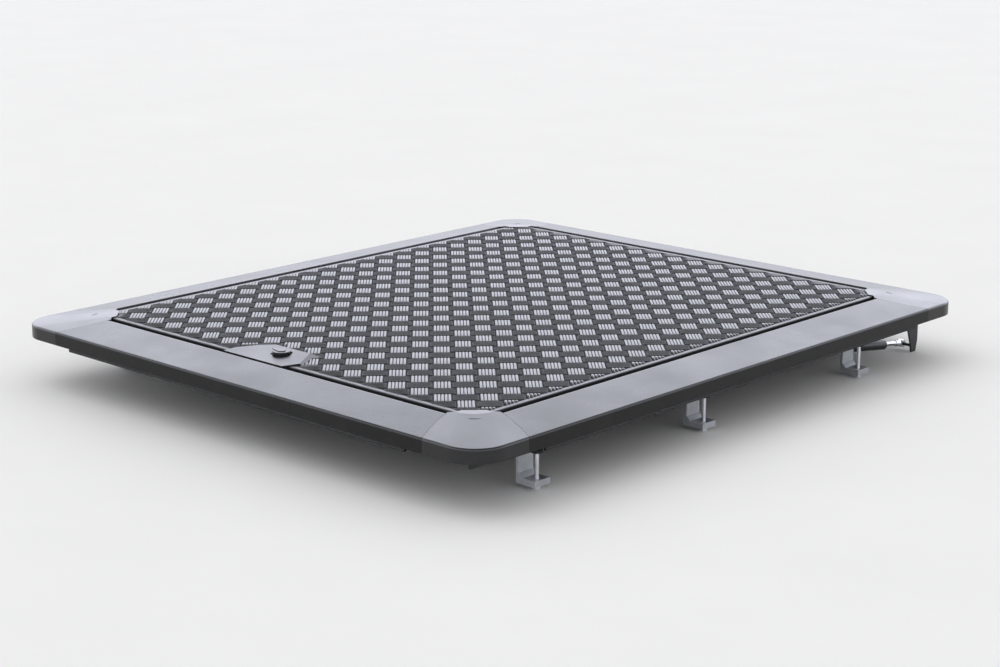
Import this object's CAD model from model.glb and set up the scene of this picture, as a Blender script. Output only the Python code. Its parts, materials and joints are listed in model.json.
"""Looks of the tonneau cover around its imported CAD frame: materials, tread, studio and camera."""

import json
import math

import bmesh
import bpy
import numpy as np
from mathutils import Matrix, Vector


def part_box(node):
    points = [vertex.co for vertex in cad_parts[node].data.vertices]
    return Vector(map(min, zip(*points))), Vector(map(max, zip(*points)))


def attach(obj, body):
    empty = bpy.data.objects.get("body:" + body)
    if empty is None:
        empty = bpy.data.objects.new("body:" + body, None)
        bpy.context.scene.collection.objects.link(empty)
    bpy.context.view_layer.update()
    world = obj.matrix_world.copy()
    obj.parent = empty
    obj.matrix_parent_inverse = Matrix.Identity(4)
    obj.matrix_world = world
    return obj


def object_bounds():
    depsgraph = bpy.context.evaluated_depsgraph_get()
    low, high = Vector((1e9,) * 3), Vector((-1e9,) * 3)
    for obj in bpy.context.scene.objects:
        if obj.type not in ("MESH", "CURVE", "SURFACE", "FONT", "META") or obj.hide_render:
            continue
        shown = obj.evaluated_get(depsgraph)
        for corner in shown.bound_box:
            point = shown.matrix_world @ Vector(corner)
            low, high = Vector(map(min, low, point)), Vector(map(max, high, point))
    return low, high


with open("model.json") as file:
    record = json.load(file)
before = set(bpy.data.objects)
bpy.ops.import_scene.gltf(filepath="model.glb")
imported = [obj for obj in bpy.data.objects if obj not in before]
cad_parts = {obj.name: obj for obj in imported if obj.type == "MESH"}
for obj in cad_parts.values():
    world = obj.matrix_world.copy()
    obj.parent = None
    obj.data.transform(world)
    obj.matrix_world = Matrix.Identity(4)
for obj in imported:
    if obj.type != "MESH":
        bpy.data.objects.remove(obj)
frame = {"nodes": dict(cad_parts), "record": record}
cad_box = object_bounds()
nodes = frame["nodes"]
MM = 0.001


# ---------- shader helpers ----------


class Shader:
    """A new node material, with short calls that add and join the nodes it needs."""

    def __init__(self, name):
        self.material = bpy.data.materials.new(name)
        self.material.use_nodes = True
        self.tree = self.material.node_tree
        self.bsdf = self.tree.nodes["Principled BSDF"]
        self.place = self.node("ShaderNodeTexCoord").outputs["Object"]

    def node(self, kind, **settings):
        """New node of a kind, with its settings made."""
        made = self.tree.nodes.new(kind)
        for key, value in settings.items():
            setattr(made, key, value)
        return made

    def feed(self, socket, value):
        """Links another node's output to a socket, or sets the socket's own value."""
        if isinstance(value, bpy.types.NodeSocket):
            self.tree.links.new(value, socket)
        else:
            socket.default_value = value

    def stretch(self, x, y, z):
        """Place scaled along each axis, for grain that runs one way."""
        made = self.node("ShaderNodeMapping")
        self.feed(made.inputs["Vector"], self.place)
        made.inputs["Scale"].default_value = (x, y, z)
        return made.outputs["Vector"]

    def noise(self, size, detail=3.0, rough=0.55, place=None):
        """Smooth noise from 0 to 1 with features of a size in metres."""
        made = self.node("ShaderNodeTexNoise")
        self.feed(made.inputs["Vector"], place or self.place)
        made.inputs["Scale"].default_value = 1 / size
        made.inputs["Detail"].default_value = detail
        made.inputs["Roughness"].default_value = rough
        return made.outputs["Fac"]

    def cells(self, size):
        """Cell pattern with cells of a size in metres."""
        made = self.node("ShaderNodeTexVoronoi", feature="F1")
        self.feed(made.inputs["Vector"], self.place)
        made.inputs["Scale"].default_value = 1 / size
        return made

    def maths(self, kind, a, b=0.0):
        """Result of a sum on two values."""
        made = self.node("ShaderNodeMath", operation=kind)
        self.feed(made.inputs[0], a)
        self.feed(made.inputs[1], b)
        return made.outputs[0]

    def span(self, value, low, high, to_low=0.0, to_high=1.0):
        """Value mapped from low..high to to_low..to_high, and held there outside it."""
        made = self.node("ShaderNodeMapRange")
        self.feed(made.inputs["Value"], value)
        for key, number in zip(
            ("From Min", "From Max", "To Min", "To Max"), (low, high, to_low, to_high)
        ):
            made.inputs[key].default_value = number
        return made.outputs["Result"]

    def blend(self, share, a, b):
        """Colour a where share is 0, b where it is 1."""
        made = self.node("ShaderNodeMix", data_type="RGBA")
        self.feed(made.inputs["Factor"], share)
        self.feed(made.inputs[6], a if isinstance(a, bpy.types.NodeSocket) else (*a, 1))
        self.feed(made.inputs[7], b if isinstance(b, bpy.types.NodeSocket) else (*b, 1))
        return made.outputs[2]

    def axes(self):
        """Place along X, Y and Z, each by its name."""
        made = self.node("ShaderNodeSeparateXYZ")
        self.feed(made.inputs["Vector"], self.place)
        return made.outputs

    def bump(self, height, depth):
        """Normal of a relief whose full height is a depth in metres."""
        made = self.node("ShaderNodeBump")
        made.inputs["Strength"].default_value = 1.0
        made.inputs["Distance"].default_value = depth
        self.feed(made.inputs["Height"], height)
        return made.outputs["Normal"]

    def edges(self, radius):
        """Share that rises to 1 on edges sharper than a radius."""
        rounded = self.node("ShaderNodeBevel", samples=4)
        rounded.inputs["Radius"].default_value = radius
        flat = self.node("ShaderNodeNewGeometry")
        turn = self.node("ShaderNodeVectorMath", operation="DOT_PRODUCT")
        self.feed(turn.inputs[0], rounded.outputs["Normal"])
        self.feed(turn.inputs[1], flat.outputs["Normal"])
        return self.span(turn.outputs["Value"], 1.0, 0.8)

    def finish(self, colour, roughness, metallic=0.0, ior=1.45, normal=None):
        """Feeds the surface and gives the material back."""
        sockets = self.bsdf.inputs
        self.feed(
            sockets["Base Color"],
            colour if isinstance(colour, bpy.types.NodeSocket) else (*colour, 1),
        )
        self.feed(sockets["Roughness"], roughness)
        self.feed(sockets["Metallic"], metallic)
        self.feed(sockets["IOR"], ior)
        if normal is not None:
            self.feed(sockets["Normal"], normal)
        return self.material


def grey(level, blue=1.06):
    """A grey with a slight blue cast."""
    return (level, level, level * blue)


# ---------- materials ----------


def powder_coat(name, level, rough, grain=1.1 * MM, depth=0.018 * MM, ior=1.42):
    """Satin powder coat: fine leather-like grain, cloudy gloss and a trace of dust."""
    s = Shader(name)
    cloud = s.noise(0.16, detail=4)
    dust = s.span(s.noise(0.05, detail=5, rough=0.65), 0.45, 0.8)
    base = s.blend(dust, grey(level), grey(level * 1.7, 1.0))
    rub = s.edges(1.2 * MM)
    colour = s.blend(s.maths("MULTIPLY", rub, 0.5), base, grey(level * 4 + 0.01))
    gloss = s.span(cloud, 0.3, 0.7, rough - 0.04, rough + 0.05)
    peel = s.bump(s.noise(grain, detail=2), depth)
    return s.finish(colour, gloss, ior=ior, normal=peel)


def moulded_plastic(name, level, rough):
    """Moulded plastic with a fine spark-eroded grain."""
    s = Shader(name)
    cloud = s.noise(0.09, detail=4)
    colour = s.blend(s.span(cloud, 0.35, 0.75), grey(level), grey(level * 1.35))
    fine = s.noise(0.7 * MM, detail=3, rough=0.7)
    pits = s.cells(1.3 * MM).outputs["Distance"]
    relief = s.bump(s.maths("ADD", fine, pits), 0.015 * MM)
    gloss = s.span(cloud, 0.3, 0.7, rough, rough + 0.06)
    return s.finish(colour, gloss, ior=1.36, normal=relief)


def sheet_coat(name, half_x, half_y):
    """Coat of the tread plate: matt ground inside the pattern, satin on the plain margin."""
    s = Shader(name)
    axes = s.axes()
    across = s.maths("SUBTRACT", s.maths("ABSOLUTE", axes["X"]), half_x)
    along = s.maths("SUBTRACT", s.maths("ABSOLUTE", axes["Y"]), half_y)
    margin = s.span(s.maths("MAXIMUM", across, along), -0.5 * MM, 0.5 * MM)
    dust = s.span(s.noise(0.03, detail=5, rough=0.7), 0.4, 0.8)
    ground = s.blend(dust, grey(0.010), grey(0.020, 1.0))
    colour = s.blend(margin, ground, grey(0.016))
    gloss = s.maths("SUBTRACT", 0.78, s.maths("MULTIPLY", margin, 0.40))
    shine = s.maths("ADD", 1.14, s.maths("MULTIPLY", margin, 0.20))
    grain = s.bump(s.noise(0.9 * MM, detail=3, rough=0.7), 0.03 * MM)
    return s.finish(colour, gloss, ior=shine, normal=grain)


def bar_coat(name, foot_z, crest_z):
    """Coat of the raised bars: worn smooth on their crests, matt at their feet."""
    s = Shader(name)
    height = s.span(s.axes()["Z"], foot_z, crest_z)
    crest = s.span(height, 0.55, 0.95)
    scuff = s.span(s.noise(0.012, detail=5, rough=0.7), 0.45, 0.75)
    worn = s.blend(s.maths("MULTIPLY", crest, scuff), grey(0.018), grey(0.034, 1.0))
    colour = s.blend(s.span(height, 0.0, 0.5), grey(0.010), worn)
    gloss = s.span(height, 0.05, 0.4, 0.55, 0.34)
    gloss = s.maths("ADD", gloss, s.maths("MULTIPLY", scuff, 0.06))
    shine = s.span(height, 0.0, 0.25, 1.2, 1.5)
    grain = s.bump(s.noise(0.8 * MM, detail=2), 0.012 * MM)
    return s.finish(colour, gloss, ior=shine, normal=grain)


def zinc_plating(name):
    """Bright zinc plating with a faint spangle and duller patches."""
    s = Shader(name)
    spangle = s.cells(2.4 * MM).outputs["Color"]
    patch = s.span(s.noise(0.02, detail=4), 0.35, 0.7)
    tint = s.blend(patch, (0.60, 0.61, 0.63), (0.50, 0.51, 0.52))
    shade = s.node("ShaderNodeSeparateColor")
    s.feed(shade.inputs["Color"], spangle)
    colour = s.blend(s.maths("MULTIPLY", shade.outputs["Red"], 0.25), tint, (0.70, 0.71, 0.74))
    gloss = s.span(s.noise(0.006, detail=4, rough=0.7), 0.3, 0.7, 0.28, 0.46)
    scratch = s.bump(s.noise(0.5 * MM, detail=3), 0.01 * MM)
    return s.finish(colour, gloss, metallic=1.0, normal=scratch)


def bright_steel(name):
    """Ground and polished steel with fine drawing marks along the rod."""
    s = Shader(name)
    marks = s.noise(0.6 * MM, detail=3, place=s.stretch(1.0, 0.04, 1.0))
    colour = s.blend(s.span(s.noise(0.02), 0.3, 0.7), (0.56, 0.57, 0.58), (0.48, 0.49, 0.51))
    return s.finish(
        colour,
        s.span(marks, 0.3, 0.7, 0.14, 0.28),
        metallic=1.0,
        normal=s.bump(marks, 0.004 * MM),
    )


def cast_metal(name):
    """Sand-cast aluminium: grey skin with a coarse grain and bright rubbed edges."""
    s = Shader(name)
    skin = s.noise(1.4 * MM, detail=5, rough=0.7)
    patch = s.span(s.noise(0.03, detail=4), 0.35, 0.7)
    colour = s.blend(patch, (0.40, 0.41, 0.42), (0.31, 0.32, 0.33))
    colour = s.blend(s.edges(1.0 * MM), colour, (0.62, 0.63, 0.65))
    relief = s.bump(skin, 0.09 * MM)
    return s.finish(colour, s.span(skin, 0.3, 0.7, 0.42, 0.6), metallic=0.9, normal=relief)


def seal_rubber(name):
    """Extruded rubber: matt, with faint lines along the extrusion and a grey bloom."""
    s = Shader(name)
    bloom = s.span(s.noise(0.02, detail=5, rough=0.7), 0.45, 0.8)
    colour = s.blend(bloom, grey(0.010), grey(0.024, 1.0))
    grain = s.noise(0.5 * MM, detail=4, rough=0.75)
    gloss = s.span(grain, 0.3, 0.7, 0.62, 0.85)
    return s.finish(colour, gloss, ior=1.4, normal=s.bump(grain, 0.04 * MM))


def nylon(name):
    """Filled nylon with a slightly waxy, scuffed face."""
    s = Shader(name)
    scuff = s.span(s.noise(2.0 * MM, detail=5, rough=0.7), 0.5, 0.8)
    colour = s.blend(scuff, grey(0.014), grey(0.032, 1.0))
    gloss = s.span(scuff, 0.0, 1.0, 0.38, 0.58)
    return s.finish(colour, gloss, normal=s.bump(scuff, 0.01 * MM))


# ---------- tread pattern ----------

PITCH = 60.6 * MM  # repeat of the pattern along and across the plate
FIRST_ROW_Y = -605.6 * MM  # row of groups whose bars run from front left to rear right
COLUMNS = range(-12, 13)  # repeats counted from the plate's middle
ROWS = range(-3, 26)  # repeats counted from the first row
BAR_STEP = 6.6 * MM  # distance between neighbouring bars of a group
BARS = 5
BAR_HALF = 24.5 * MM
SPILL = 12 * MM  # a bar whose middle lies this far outside the pattern is still built, and cut
MARGIN_X = 542.0 * MM  # the pattern stops here, short of the plate's fold
MARGIN_Y = 644.0 * MM

# Section of a bar in mm: across it, and up from the plate
BAR_CREST = 1.4
BAR_SECTION = (
    (-3.3, -0.12),
    (-1.9, 0.66),
    (-0.5, 1.3),
    (0.0, BAR_CREST),
    (0.5, 1.3),
    (1.9, 0.66),
    (3.3, -0.12),
)

# Stations along a bar: mm from its middle, and the share of the section's width and height there
BAR_STATIONS = (
    (-24.5, 0.35, 0.0),
    (-23.2, 0.8, 0.65),
    (-20.5, 1.0, 1.0),
    (20.5, 1.0, 1.0),
    (23.2, 0.8, 0.65),
    (24.5, 0.35, 0.0),
)

# The slanted edge of a cap's tab: its x and y from the lid's corner, added together
TAB_CORNER = 300.5 * MM

# Corners of the lock's wedge in mm, at the level of the plate, from the knob's axis
WEDGE_CORNERS = ((63, -55), (84, -22), (52, 46), (-56, 46), (-90, 14), (-114, -28), (-112, -55))

plate_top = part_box("tread_plate")[1].z


def bar_mesh():
    """Vertices of one bar along x, sunk a little into the plate, and its faces."""
    points = []
    for along, wide, high in BAR_STATIONS:
        for across, up in BAR_SECTION:
            rise = up * high if up > 0 else up
            points.append((along * MM, across * wide * MM, rise * MM))
    n = len(BAR_SECTION)
    faces = []
    for i in range(len(BAR_STATIONS) - 1):
        for j in range(n):
            k = (j + 1) % n
            faces.append((i * n + j, i * n + k, (i + 1) * n + k, (i + 1) * n + j))
    last = (len(BAR_STATIONS) - 1) * n
    faces.append(tuple(range(n - 1, -1, -1)))
    faces.append(tuple(range(last, last + n)))
    return np.array(points), faces


def bar_places(half_x, half_y):
    """Middle and heading of every bar that lies in or near the pattern's area."""
    places = []
    for family, heading in ((0.0, math.radians(-45)), (0.5, math.radians(45))):
        cos, sin = math.cos(heading), math.sin(heading)
        for i in COLUMNS:
            for j in ROWS:
                cx = (i + family) * PITCH
                cy = FIRST_ROW_Y + (j + family) * PITCH
                for k in range(BARS):
                    off = (k - (BARS - 1) / 2) * BAR_STEP
                    x, y = cx - sin * off, cy + cos * off
                    if abs(x) < half_x + SPILL and abs(y) < half_y + SPILL:
                        places.append((x, y, heading))
    return places


def past(point, planes):
    """How far a point lies past each plane, which is a point and an outward normal."""
    return [(point[0] - px) * nx + (point[1] - py) * ny for (px, py), (nx, ny) in planes]


def mesh_of(name, bars):
    """One mesh of many bars, each given by its middle and heading."""
    points, faces = bar_mesh()
    verts = np.zeros((len(bars), len(points), 3))
    for i, (x, y, heading) in enumerate(bars):
        cos, sin = math.cos(heading), math.sin(heading)
        verts[i, :, 0] = x + points[:, 0] * cos - points[:, 1] * sin
        verts[i, :, 1] = y + points[:, 0] * sin + points[:, 1] * cos
        verts[i, :, 2] = plate_top + points[:, 2]
    starts = range(0, len(bars) * len(points), len(points))
    all_faces = [tuple(start + v for v in face) for start in starts for face in faces]
    mesh = bpy.data.meshes.new(name)
    mesh.from_pydata(verts.reshape(-1, 3).tolist(), [], all_faces)
    return mesh


def cut(bm, point, normal):
    """Cuts away what lies on the normal's side of a plane and closes the cut."""
    done = bmesh.ops.bisect_plane(
        bm,
        geom=bm.verts[:] + bm.edges[:] + bm.faces[:],
        plane_co=(*point, 0),
        plane_no=(*normal, 0),
        clear_outer=True,
    )
    rims = [g for g in done["geom_cut"] if isinstance(g, bmesh.types.BMEdge)]
    bmesh.ops.holes_fill(bm, edges=rims, sides=0)


def piece(name, mesh, body, material):
    """A new named piece that rides on a body and takes its finish from a material slot."""
    obj = bpy.data.objects.new(name, mesh)
    bpy.context.scene.collection.objects.link(obj)
    mesh.materials.append(material)
    mesh.shade_smooth()
    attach(obj, body)
    return obj


def rim_planes():
    """Planes that bound the pattern: its four sides, and the slanted edges of the caps' tabs."""
    root = math.sqrt(0.5)
    tab_x = cad_box[1].x + cad_box[1].y - TAB_CORNER
    planes = [((MARGIN_X * s, 0), (s, 0)) for s in (-1, 1)]
    planes += [((0, MARGIN_Y * s), (0, s)) for s in (-1, 1)]
    planes += [((tab_x * s, 0), (s * root, t * root)) for s in (-1, 1) for t in (-1, 1)]
    return planes


def wedge_planes():
    """Planes of the sides of the lock's wedge, facing out of it."""
    low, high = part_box("lock_knob")
    knob_x, knob_y = (low.x + high.x) / 2, (low.y + high.y) / 2
    planes = []
    for (x1, y1), (x2, y2) in zip(WEDGE_CORNERS, WEDGE_CORNERS[1:]):
        side = Vector((y2 - y1, x1 - x2)).normalized()
        planes.append(((knob_x + x1 * MM, knob_y + y1 * MM), (side.x, side.y)))
    return planes


def tread_bars(name, family, material, rim, wedge):
    """All bars of one direction: whole, or cut where they meet the pattern's rim or the wedge."""
    whole, groups = [], {None: [], **{i: [] for i in range(len(wedge))}}
    for bar in family:
        out = max(past(bar, rim))
        over = past(bar, wedge)
        near = max(over)
        if out > BAR_HALF or near < -BAR_HALF:
            continue
        plane = over.index(near) if near < BAR_HALF else None
        if plane is None and out < -BAR_HALF:
            whole.append(bar)
        else:
            groups[plane].append(bar)
    joined = bmesh.new()
    joined.from_mesh(mesh_of(name, whole))
    for plane, bars in groups.items():
        part = bmesh.new()
        part.from_mesh(mesh_of(name, bars))
        if plane is not None:
            point, normal = wedge[plane]
            cut(part, point, (-normal[0], -normal[1]))
        for point, normal in rim:
            cut(part, point, normal)
        small = bpy.data.meshes.new(name)
        part.to_mesh(small)
        part.free()
        joined.from_mesh(small)
    mesh = bpy.data.meshes.new(name)
    joined.to_mesh(mesh)
    joined.free()
    piece(name, mesh, "lid", material)


# ---------- the cover ----------

finishes = {
    "profile_coat": powder_coat("profile_coat_look", 0.008, 0.28, ior=1.28),
    "cap_plastic": moulded_plastic("cap_plastic_look", 0.016, 0.27),
    "tread_coat": sheet_coat("tread_coat_look", MARGIN_X, MARGIN_Y),
    "rail_coat": powder_coat("rail_coat_look", 0.012, 0.45, 1.4 * MM, 0.03 * MM),
    "zinc_plate": zinc_plating("zinc_plate_look"),
    "cast_alu": cast_metal("cast_alu_look"),
    "steel": bright_steel("steel_look"),
    "rubber": seal_rubber("rubber_look"),
    "nylon": nylon("nylon_look"),
    "lock_coat": powder_coat("lock_coat_look", 0.010, 0.32, 0.8 * MM, 0.008 * MM, ior=1.3),
}
for part in frame["record"]["subparts"]:
    obj = nodes[part["node"]]
    obj.data.materials.clear()
    obj.data.materials.append(finishes[part["material_slot"]])

bars_look = bar_coat("tread_bars_look", plate_top, plate_top + BAR_CREST * MM)
places = bar_places(MARGIN_X, MARGIN_Y)
rim, wedge = rim_planes(), wedge_planes()
tread_bars("tread_bars_right", [p for p in places if p[2] > 0], bars_look, rim, wedge)
tread_bars("tread_bars_left", [p for p in places if p[2] < 0], bars_look, rim, wedge)


# ---------- studio ----------

FLOOR_SIZE = 80
SUN_ANGLE = 50
SUN_ENERGY = 0.5
SUN_FROM = Vector((-0.5, -0.45, 1.0))
DIFFUSE_LEVEL = 0.85
GLOSS_BOOST = 5.8

# What gloss mirrors: level at the sine of the height above the horizon, and its tint
GLOSS_STOPS = (
    (0.0, 0.10),
    (0.05, 0.3),
    (0.12, 0.58),
    (0.26, 0.66),
    (0.42, 1.0),
    (0.52, 0.7),
    (0.66, 0.12),
    (1.0, 0.05),
)
GLOSS_TINT = (0.87, 0.895)

VIEW_AZIMUTH, VIEW_ELEVATION, VIEW_DISTANCE, VIEW_LENS = 43.2, 14.5, 4.6, 76.0

middle = (cad_box[0] + cad_box[1]) / 2


def floor_look():
    """Pale matt studio floor with a barely seen mottle."""
    s = Shader("floor_look")
    mottle = s.span(s.noise(0.4, detail=4), 0.3, 0.7)
    return s.finish(s.blend(mottle, (0.85, 0.85, 0.85), (0.87, 0.87, 0.87)), 0.9, ior=1.3)


def studio_floor():
    """Pale floor under the cover, staged so that it isn't part of it."""
    bpy.ops.mesh.primitive_plane_add(size=FLOOR_SIZE, location=(0, 0, cad_box[0].z))
    floor = bpy.context.object
    floor.name = "studio_floor"
    floor.data.materials.append(floor_look())


def studio_sun():
    """Wide soft sun from the rear left, even over the whole floor."""
    lamp = bpy.data.lights.new("sun", "SUN")
    lamp.angle = math.radians(SUN_ANGLE)
    lamp.energy = SUN_ENERGY
    obj = bpy.data.objects.new("sun", lamp)
    obj.rotation_euler = (-SUN_FROM).to_track_quat("-Z", "Y").to_euler()
    bpy.context.scene.collection.objects.link(obj)


def studio_world():
    """Even light all round; what gloss mirrors is brightest 25 degrees above the horizon."""
    world = bpy.data.worlds.new("studio")
    world.use_nodes = True
    bpy.context.scene.world = world
    tree = world.node_tree
    back = tree.nodes["Background"]
    coords = tree.nodes.new("ShaderNodeTexCoord")
    split = tree.nodes.new("ShaderNodeSeparateXYZ")
    tree.links.new(coords.outputs["Generated"], split.inputs["Vector"])
    ramp = tree.nodes.new("ShaderNodeValToRGB")
    points = ramp.color_ramp.elements
    points[0].position, points[1].position = GLOSS_STOPS[0][0], GLOSS_STOPS[-1][0]
    for place, _ in GLOSS_STOPS[1:-1]:
        points.new(place)
    red, green = GLOSS_TINT
    for point, (_, level) in zip(points, GLOSS_STOPS):
        point.color = (level * red, level * green, level, 1)
    tree.links.new(split.outputs["Z"], ramp.inputs["Fac"])
    rays = tree.nodes.new("ShaderNodeLightPath")
    light = tree.nodes.new("ShaderNodeMix")
    light.data_type = "RGBA"
    tree.links.new(rays.outputs["Is Glossy Ray"], light.inputs["Factor"])
    light.inputs[6].default_value = (DIFFUSE_LEVEL, DIFFUSE_LEVEL, DIFFUSE_LEVEL, 1)
    boost = tree.nodes.new("ShaderNodeVectorMath")
    boost.operation = "SCALE"
    boost.inputs["Scale"].default_value = GLOSS_BOOST
    tree.links.new(ramp.outputs["Color"], boost.inputs[0])
    tree.links.new(boost.outputs["Vector"], light.inputs[7])
    tree.links.new(light.outputs[2], back.inputs["Color"])
    back.inputs["Strength"].default_value = 1.0


def studio_camera():
    """Camera from the rear right, a little above the lid."""
    turn, rise = math.radians(VIEW_AZIMUTH), math.radians(VIEW_ELEVATION)
    flat = math.cos(rise)
    away = Vector((math.sin(turn) * flat, -math.cos(turn) * flat, math.sin(rise)))
    lens = bpy.data.cameras.new("camera")
    lens.lens = VIEW_LENS
    camera = bpy.data.objects.new("camera", lens)
    camera.location = middle + away * VIEW_DISTANCE
    camera.rotation_euler = (-away).to_track_quat("-Z", "Y").to_euler()
    bpy.context.scene.collection.objects.link(camera)
    bpy.context.scene.camera = camera


studio_floor()
studio_world()
studio_sun()
studio_camera()
bpy.context.scene.view_settings.view_transform = "Standard"
